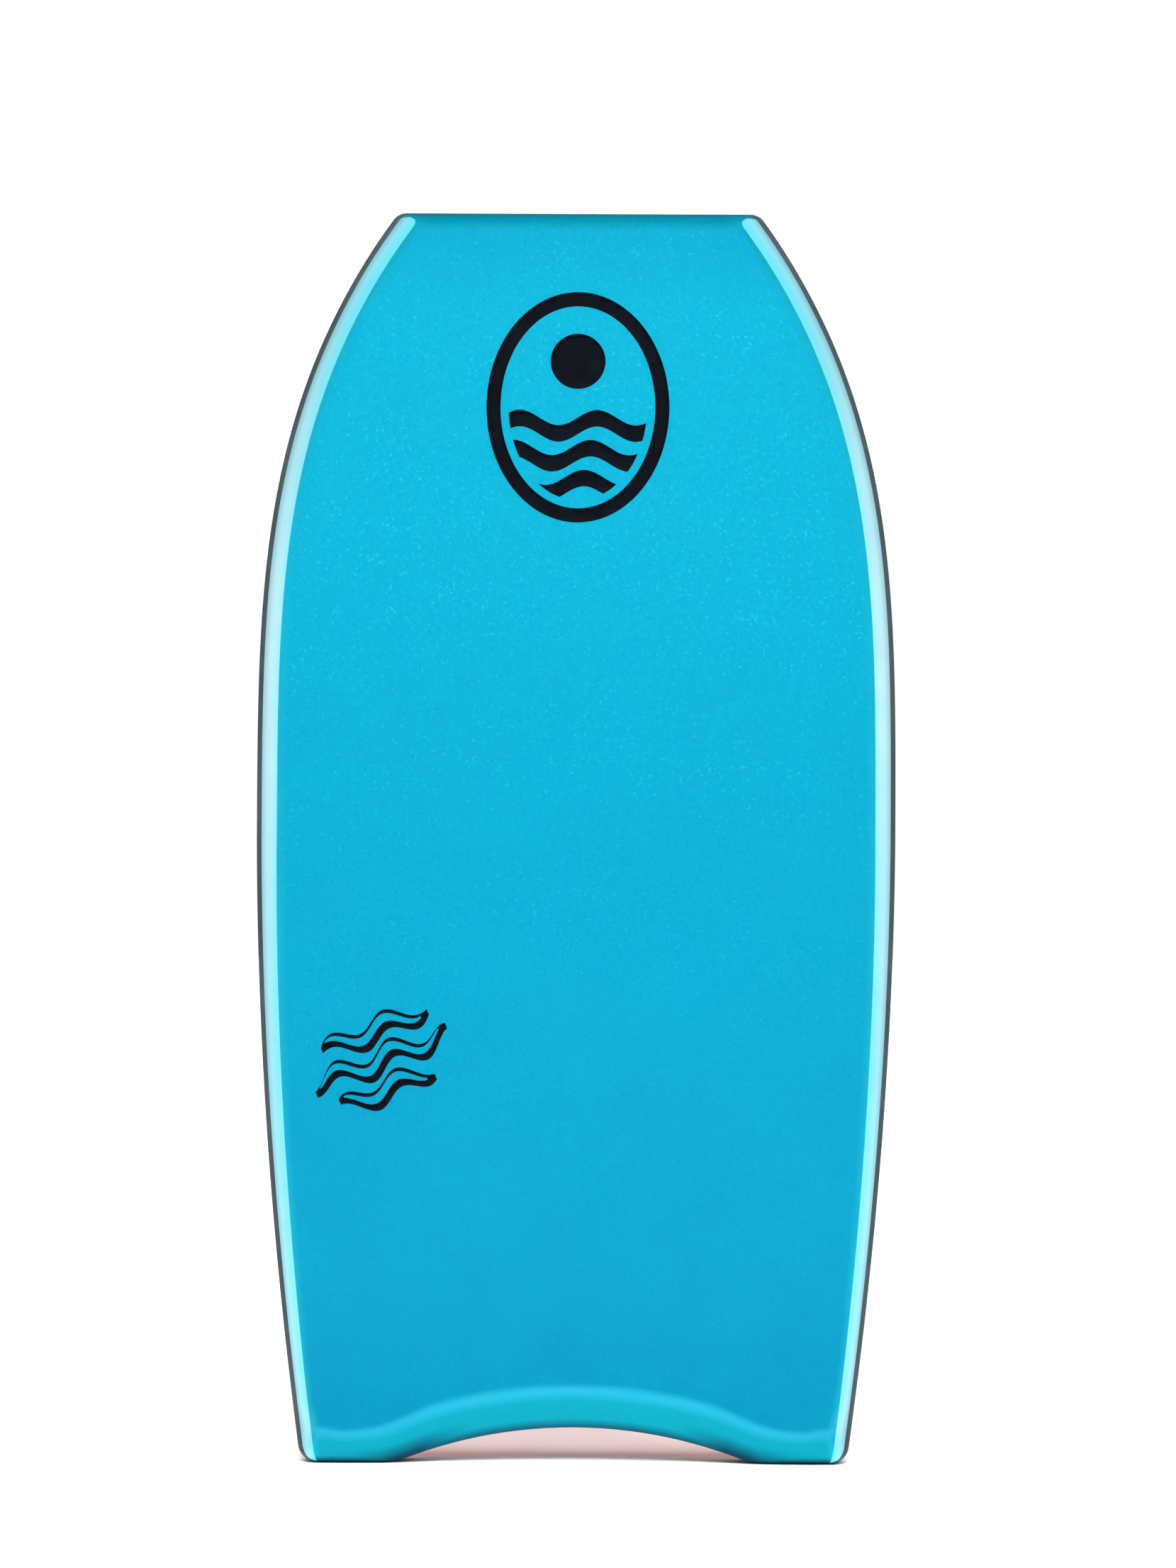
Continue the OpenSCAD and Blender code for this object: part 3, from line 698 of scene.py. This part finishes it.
def side_motif(material):
    """Three tilted ripples, each a dark stroke with a lighter one cut out of it."""
    outer, cut = [], []
    for reach, height, x, z in RIPPLES:
        stroke = wave(reach, height, RIPPLE_LENGTH, RIPPLE_WIDTH, taper=RIPPLE_TAPER)
        light = wave(reach - CUT_SHORT, height, RIPPLE_LENGTH, CUT_WIDTH, taper=CUT_TAPER)
        for loops, loop in ((outer, stroke), (cut, light + CUT_SHIFT)):
            loops.append(shifted(loop + (x, z), MOTIF_ACROSS, MOTIF_MIDDLE, MOTIF_TILT))

    def inked(p):
        dark = np.any([inside(p, loop) for loop in outer], axis=0)
        return dark & ~np.any([inside(p, loop) for loop in cut], axis=0)

    print_piece("side_print", outer + cut, inked, material, "side_graphic")


# ---- Materials ------------------------------------------------------------


class Paint:
    """A node material, built on object coordinates in metres."""

    def __init__(self, name, **sockets):
        self.material = bpy.data.materials.new(name)
        self.material.use_nodes = True
        self.tree = self.material.node_tree
        self.shader = self.tree.nodes["Principled BSDF"]
        for socket, value in sockets.items():
            self.shader.inputs[socket.replace("_", " ")].default_value = value
        self.coordinates = self.tree.nodes.new("ShaderNodeTexCoord").outputs["Object"]

    def put(self, value, socket):
        if isinstance(value, bpy.types.NodeSocket):
            self.tree.links.new(value, socket)
        else:
            socket.default_value = value

    def noise(self, scale, detail=2.0, roughness=0.5, stretched=1.0):
        """Noise of a scale per metre; stretched under 1 draws it out along the board."""
        node = self.tree.nodes.new("ShaderNodeTexNoise")
        place = self.coordinates
        if stretched != 1:
            scaled = self.tree.nodes.new("ShaderNodeVectorMath")
            scaled.operation = "MULTIPLY"
            self.put(self.coordinates, scaled.inputs[0])
            scaled.inputs[1].default_value = (1, 1, stretched)
            place = scaled.outputs["Vector"]
        self.put(place, node.inputs["Vector"])
        for socket, value in (("Scale", scale), ("Detail", detail), ("Roughness", roughness)):
            node.inputs[socket].default_value = value
        return node.outputs["Fac"]

    def weave(self, pitch):
        """Two crossing sets of threads, at 45 degrees to the board."""
        x, _, z = self.place()
        threads = []
        for operation in ("ADD", "SUBTRACT"):
            along = self.times(self.maths(x, z, operation), 2 * math.pi / pitch)
            wave = self.maths(along, 0.0, "SINE")
            threads.append(self.remap(wave, 0.75, 1.0))
        return self.maths(threads[0], threads[1], "MAXIMUM")

    def cells(self, scale, feature="F1"):
        node = self.tree.nodes.new("ShaderNodeTexVoronoi")
        node.feature = feature
        self.put(self.coordinates, node.inputs["Vector"])
        node.inputs["Scale"].default_value = scale
        return node.outputs["Distance"]

    def remap(self, value, low, high, to_low=0.0, to_high=1.0):
        node = self.tree.nodes.new("ShaderNodeMapRange")
        node.clamp = True
        self.put(value, node.inputs["Value"])
        for socket, number in (
            ("From Min", low), ("From Max", high), ("To Min", to_low), ("To Max", to_high)
        ):
            node.inputs[socket].default_value = number
        return node.outputs["Result"]

    def maths(self, a, b, operation):
        node = self.tree.nodes.new("ShaderNodeMath")
        node.operation = operation
        self.put(a, node.inputs[0])
        self.put(b, node.inputs[1])
        return node.outputs["Value"]

    def times(self, a, b):
        return self.maths(a, b, "MULTIPLY")

    def blend(self, factor, a, b):
        node = self.tree.nodes.new("ShaderNodeMix")
        node.data_type = "RGBA"
        self.put(factor, node.inputs["Factor"])
        for value, name in ((a, "A"), (b, "B")):
            socket = [s for s in node.inputs if s.name == name and s.enabled][0]
            if not isinstance(value, bpy.types.NodeSocket):
                value = (*value, 1.0)
            self.put(value, socket)
        return [s for s in node.outputs if s.enabled][0]

    def place(self):
        """The coordinates across, through and up the board."""
        node = self.tree.nodes.new("ShaderNodeSeparateXYZ")
        self.put(self.coordinates, node.inputs["Vector"])
        return node.outputs

    def height(self):
        return self.place()["Z"]

    def across(self):
        return self.maths(self.place()["X"], 0.0, "ABSOLUTE")

    def runs(self):
        """Shares of the side bevel, the tail bevel and the nose edge, from their outer edges."""
        node = self.tree.nodes.new("ShaderNodeAttribute")
        node.attribute_name = "runs"
        split = self.tree.nodes.new("ShaderNodeSeparateXYZ")
        self.put(node.outputs["Vector"], split.inputs["Vector"])
        return split.outputs

    def bump(self, value, distance, strength=1.0, below=None):
        node = self.tree.nodes.new("ShaderNodeBump")
        self.put(value, node.inputs["Height"])
        node.inputs["Distance"].default_value = distance
        node.inputs["Strength"].default_value = strength
        if below is not None:
            self.put(below, node.inputs["Normal"])
        return node.outputs["Normal"]

    def finish(self, colour=None, roughness=None, normal=None):
        for value, name in ((colour, "Base Color"), (roughness, "Roughness"), (normal, "Normal")):
            if value is not None:
                self.put(value, self.shader.inputs[name])
        return self.material


def deck_foam():
    """Embossed foam skin: fine pebbles, a soft mottle and lighter specks, more of them high up
    as painted sheen.

    Painted light makes the foam lighter high up and over the tail bevel, with a painted
    highlight along the tail ridge, and painted shade darkens the bevel's lower edge.
    """
    p = Paint("deck foam", Specular_IOR_Level=0.035, Roughness=0.5)
    side, tail, nose = p.runs()
    pebble = p.cells(420, "SMOOTH_F1")
    grain = p.noise(900, 3)
    mottle = p.remap(p.noise(260, 4, 0.62), 0.3, 0.7)
    cloud = p.remap(p.noise(14, 3), 0.3, 0.7)
    # Painted light: the foam is lighter high up and darker low down.
    low = p.blend(mottle, (0.0, 0.168, 0.282), (0.0, 0.186, 0.304))
    high = p.blend(mottle, (0.0, 0.214, 0.322), (0.002, 0.248, 0.358))
    colour = p.blend(p.remap(p.height(), 0.05, 0.80), low, high)
    colour = p.blend(p.times(cloud, 0.25), colour, (0.0, 0.235, 0.345))
    # Lighter specks in the foam, with more of them high up as painted sheen.
    specks = p.remap(p.noise(330, 2), 0.62, 0.72)
    sheen_by_height = p.remap(p.height(), 0.25, 0.75, 0.12, 0.7)
    colour = p.blend(p.times(specks, sheen_by_height), colour, (0.01, 0.33, 0.46))
    # Painted floor light: the tail bevel is lighter and greener, as if lit from the floor.
    stretched = p.remap(tail, 0.80, 0.66)
    colour = p.blend(p.times(stretched, 0.5), colour, (0.0, 0.22, 0.235))
    # Painted highlight along the tail ridge.
    ridge_highlight = p.times(p.remap(tail, 1.0, 0.86), p.remap(tail, 0.60, 0.80))
    colour = p.blend(p.times(ridge_highlight, 0.6), colour, (0.016, 0.30, 0.41))
    # Painted highlight: the deck is lighter next to the chine ridge, where it rounds over.
    colour = p.blend(p.remap(side, 0.98, 0.62, 0.0, 0.45), colour, (0.010, 0.31, 0.42))
    # Painted shade: darker towards the nose top.
    colour = p.blend(p.remap(p.height(), 0.985, 1.045, 0.0, 0.3), colour, (0.0, 0.15, 0.25))
    # Painted light: lighter over the nose's rounded edge.
    colour = p.blend(p.remap(nose, 0.8, 0.1, 0.0, 0.3), colour, (0.0, 0.30, 0.42))
    # Painted shade on the tail's lower edge, reaching higher at the flares, where the floor shadow
    # falls.
    across = p.across()
    flare = p.times(p.remap(across, 0.085, 0.130), p.remap(across, 0.195, 0.150))
    flare_shade = p.times(p.remap(tail, 0.42, 0.08, 0.0, 0.95), flare)
    lower = p.maths(p.remap(tail, 0.22, 0.02, 0.0, 0.85), flare_shade, "MAXIMUM")
    colour = p.blend(lower, colour, (0.0, 0.03, 0.06))
    rough = p.remap(grain, 0.3, 0.7, 0.42, 0.6)
    normal = p.bump(pebble, 0.00025, 0.5)
    normal = p.bump(grain, 0.00012, 0.5, normal)
    return p.finish(colour, rough, normal)


def chine_foam():
    """Satin foam, paler along the middle of the board, bluer by the deck and grey by the rail.

    A lighter band along the strip's outer half is a painted highlight; the grey by the rail is
    painted shade.
    """
    p = Paint("chine foam", Specular_IOR_Level=0.15, Roughness=0.4)
    side, tail, _ = p.runs()
    cloud = p.remap(p.noise(30, 3), 0.3, 0.7)
    deeper = p.blend(cloud, (0.150, 0.500, 0.570), (0.170, 0.530, 0.600))
    paler = p.blend(cloud, (0.320, 0.560, 0.600), (0.350, 0.590, 0.625))
    middle = p.times(p.remap(p.height(), 0.34, 0.62), p.remap(p.height(), 1.02, 0.74))
    colour = p.blend(middle, deeper, paler)
    colour = p.blend(p.remap(p.height(), 0.88, 1.03), colour, (0.120, 0.560, 0.660))
    by_deck = p.times(p.remap(side, 0.36, 0.61), 0.5)
    colour = p.blend(by_deck, colour, (0.07, 0.54, 0.65))
    # Painted highlight: a paler band along the strip, nearer the rail than the deck.
    colour = p.blend(p.remap(side, 0.42, 0.20, 0.0, 0.4), colour, (0.340, 0.500, 0.580))
    # Painted shade: greyer at the strip's edge by the rail.
    colour = p.blend(p.remap(side, 0.22, 0.0, 0.0, 0.5), colour, (0.10, 0.20, 0.22))
    colour = p.blend(p.remap(tail, 0.80, 0.10, 0.0, 0.45), colour, (0.06, 0.42, 0.55))
    grain = p.noise(700, 3)
    rough = p.remap(grain, 0.3, 0.7, 0.36, 0.5)
    normal = p.bump(grain, 0.0001, 0.4)
    return p.finish(colour, rough, p.bump(p.noise(60, 2), 0.0004, 0.3, normal))


def rail_foam():
    p = Paint("rail foam", Specular_IOR_Level=0.3, Roughness=0.5)
    cloud = p.noise(25, 3)
    colour = p.blend(p.remap(cloud, 0.3, 0.7), (0.016, 0.030, 0.037), (0.026, 0.044, 0.052))
    grain = p.noise(700, 3)
    scuff = p.remap(p.noise(90, 5, 0.7), 0.66, 0.8, 0.0, 0.35)
    colour = p.blend(scuff, colour, (0.07, 0.10, 0.11))
    rough = p.remap(grain, 0.3, 0.7, 0.42, 0.6)
    return p.finish(colour, rough, p.bump(grain, 0.00015, 0.5))


def slick_plastic():
    """Smooth plastic with the net under it just showing, and fine scuffs along the board."""
    p = Paint("slick plastic", Specular_IOR_Level=0.5, Roughness=0.25, Coat_Weight=0.25)
    cloud = p.noise(8, 2)
    colour = p.blend(p.remap(cloud, 0.3, 0.7), (0.60, 0.060, 0.050), (0.66, 0.078, 0.062))
    net = p.weave(0.006)
    colour = p.blend(p.times(net, 0.16), colour, (0.36, 0.03, 0.026))
    scuffs = p.remap(p.noise(40, 6, 0.7, stretched=0.05), 0.62, 0.75)
    colour = p.blend(p.times(scuffs, 0.25), colour, (0.72, 0.17, 0.15))
    smear = p.remap(p.noise(120, 4, 0.6), 0.4, 0.75, 0.2, 0.32)
    rough = p.maths(smear, p.times(scuffs, 0.15), "ADD")
    normal = p.bump(net, 0.00015, 0.3)
    return p.finish(colour, rough, p.bump(cloud, 0.002, 0.15, normal))


def print_ink():
    p = Paint("print ink", Specular_IOR_Level=0.03, Roughness=0.45)
    cloud = p.noise(60, 3)
    colour = p.blend(p.remap(cloud, 0.3, 0.7), (0.0004, 0.0012, 0.003), (0.0012, 0.0028, 0.006))
    grain = p.noise(900, 3)
    rough = p.remap(grain, 0.3, 0.7, 0.42, 0.6)
    return p.finish(colour, rough, p.bump(grain, 0.00012, 0.4))


def core_foam():
    """Closed-cell foam, seen only if the board is taken apart."""
    p = Paint("core foam", Specular_IOR_Level=0.2, Roughness=0.8)
    bead = p.cells(250)
    colour = p.blend(p.remap(bead, 0.1, 0.6), (0.86, 0.86, 0.83), (0.74, 0.74, 0.71))
    rough = p.remap(p.noise(300), 0.3, 0.7, 0.7, 0.9)
    return p.finish(colour, rough, p.bump(bead, 0.0003, 0.6))


def hidden_plastic(name, dark, light):
    p = Paint(name, Specular_IOR_Level=0.4, Roughness=0.45)
    colour = p.blend(p.remap(p.noise(90, 4), 0.3, 0.7), dark, light)
    rough = p.remap(p.noise(400), 0.3, 0.7, 0.35, 0.55)
    return p.finish(colour, rough, p.bump(p.noise(600), 0.0001, 0.4))


def paint_node(node, material):
    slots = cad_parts[node].material_slots
    if not slots:
        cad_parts[node].data.materials.append(material)
    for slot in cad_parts[node].material_slots:
        slot.material = material


# ---- Stage ----------------------------------------------------------------

FLOOR_REACH = 12
ROOM_LIGHT = 0.3
VIEW_DISTANCE = 4.2
VIEW_HEIGHT = 0.580
VIEW_ACROSS = 0.010
VIEW_ROLL = math.radians(-0.25)
FRAME_HEIGHT = 1.344


def camera():
    data = bpy.data.cameras.new("camera")
    data.sensor_fit = "VERTICAL"
    data.sensor_height = 36
    data.lens = data.sensor_height * VIEW_DISTANCE / FRAME_HEIGHT
    view = bpy.data.objects.new("camera", data)
    view.location = (VIEW_ACROSS, -VIEW_DISTANCE, VIEW_HEIGHT)
    view.rotation_euler = (math.radians(90), VIEW_ROLL, 0)
    bpy.context.collection.objects.link(view)
    bpy.context.scene.camera = view


def add_light(name, kind, place, aim, strength, only_on=None):
    """A light that the camera doesn't see. only_on is the collection that says what it lights."""
    data = bpy.data.lights.new(name, kind)
    data.energy = strength
    light = bpy.data.objects.new(name, data)
    light.location = place
    light.rotation_euler = (Vector(aim) - Vector(place)).to_track_quat("-Z", "Y").to_euler()
    light.visible_camera = False
    light.light_linking.receiver_collection = only_on
    bpy.context.collection.objects.link(light)
    return data


def soft_box(name, place, aim, size, strength, spread=180, only_on=None):
    data = add_light(name, "AREA", place, aim, strength, only_on)
    data.shape = "RECTANGLE"
    data.size, data.size_y = size
    data.spread = math.radians(spread)


def backdrop_light():
    """A dim room all round, which shows as plain white where nothing stands before it."""
    world = bpy.data.worlds.new("studio")
    bpy.context.scene.world = world
    world.use_nodes = True
    tree = world.node_tree
    room = tree.nodes["Background"]
    room.inputs["Color"].default_value = (1, 1, 1, 1)
    room.inputs["Strength"].default_value = ROOM_LIGHT
    paper = tree.nodes.new("ShaderNodeBackground")
    paper.inputs["Color"].default_value = (1, 1, 1, 1)
    paper.inputs["Strength"].default_value = 1.0
    seen = tree.nodes.new("ShaderNodeLightPath").outputs["Is Camera Ray"]
    both = tree.nodes.new("ShaderNodeMixShader")
    tree.links.new(seen, both.inputs["Fac"])
    tree.links.new(room.outputs[0], both.inputs[1])
    tree.links.new(paper.outputs[0], both.inputs[2])
    tree.links.new(both.outputs[0], tree.nodes["World Output"].inputs["Surface"])


def floor():
    mesh = bpy.data.meshes.new("floor")
    far = FLOOR_REACH
    corners = [(-far, -far, 0), (far, -far, 0), (far, far, 0), (-far, far, 0)]
    mesh.from_pydata(corners, [], [(0, 1, 2, 3)])
    ground = bpy.data.objects.new("floor", mesh)
    p = Paint("floor paper", Specular_IOR_Level=0.1, Roughness=0.8)
    colour = p.blend(p.remap(p.noise(3), 0.3, 0.7), (0.90, 0.90, 0.90), (0.92, 0.92, 0.92))
    mesh.materials.append(p.finish(colour))
    bpy.context.collection.objects.link(ground)
    return ground


def studio():
    """The bright floor lights the board from below, with weaker boxes in front and behind.

    The two overhead lights are kept to the floor, and the main back light is kept off it.
    """
    backdrop_light()
    ground = floor()
    on_floor = bpy.data.collections.new("floor_only")
    on_floor.objects.link(ground)
    off_floor = bpy.data.collections.new("all_but_floor")
    off_floor.objects.link(ground)
    off_floor.collection_objects[0].light_linking.link_state = "EXCLUDE"
    overhead = add_light("overhead", "SUN", (0, -1.7, 3.0), (0, 0, 0), 5.0, on_floor)
    overhead.angle = math.radians(45)
    soft_box("floor_box", (0, -1.3, 3.0), (0, -1.3, 0), (4.0, 2.6), 62, 20, on_floor)
    soft_box("key", (0.0, -1.1, 1.3), (0, 0, 1.0), (0.9, 0.5), 9)
    soft_box("left_box", (-1.5, -1.1, 1.3), (-0.2, 0, 0.8), (0.5, 1.0), 4.2)
    soft_box("right_box", (1.5, -1.1, 1.3), (0.2, 0, 0.8), (0.5, 1.0), 5.2)
    soft_box("back_box", (0.0, 2.4, 1.6), (0, 0, 0.5), (2.4, 1.4), 45, only_on=off_floor)
    soft_box("back_fill", (0.0, 2.4, 1.6), (0, 0, 0.5), (2.4, 1.4), 10)


# ---- Build ----------------------------------------------------------------

bpy.context.scene.view_settings.view_transform = "Standard"
camera()
studio()

chine, rail = chine_foam(), rail_foam()
deck_piece(deck_foam())
chine_piece("left", ALL_COLUMNS[: STRIP_STEPS + 1], chine)
chine_piece("right", ALL_COLUMNS[-STRIP_STEPS - 1 :], chine)
edge_strip("left_rail_strip", ALL_COLUMNS[:1], ALL_ROWS, rail, "left_rail", True)
edge_strip("right_rail_strip", ALL_COLUMNS[-1:], ALL_ROWS, rail, "right_rail", False)
edge_strip("nose_strip", ALL_COLUMNS, ALL_ROWS[-1:], rail, "nose_bumper", False)
edge_strip("tail_strip", ALL_COLUMNS, ALL_ROWS[:1], rail, "tail_bumper", True)
slick_piece(slick_plastic())
ink = print_ink()
emblem(ink)
side_motif(ink)

foam = core_foam()
for node in ("foam_core", "stringer_plug", "slick_backing"):
    paint_node(node, foam)
carbon = hidden_plastic("carbon tube", (0.012, 0.012, 0.014), (0.03, 0.03, 0.034))
paint_node("stringer_tube", carbon)
paint_node("bottom_mesh", carbon)
cap = hidden_plastic("cap plastic", (0.55, 0.55, 0.55), (0.68, 0.68, 0.68))
for node in ("stringer_nose_cap", "stringer_tail_cap"):
    paint_node(node, cap)
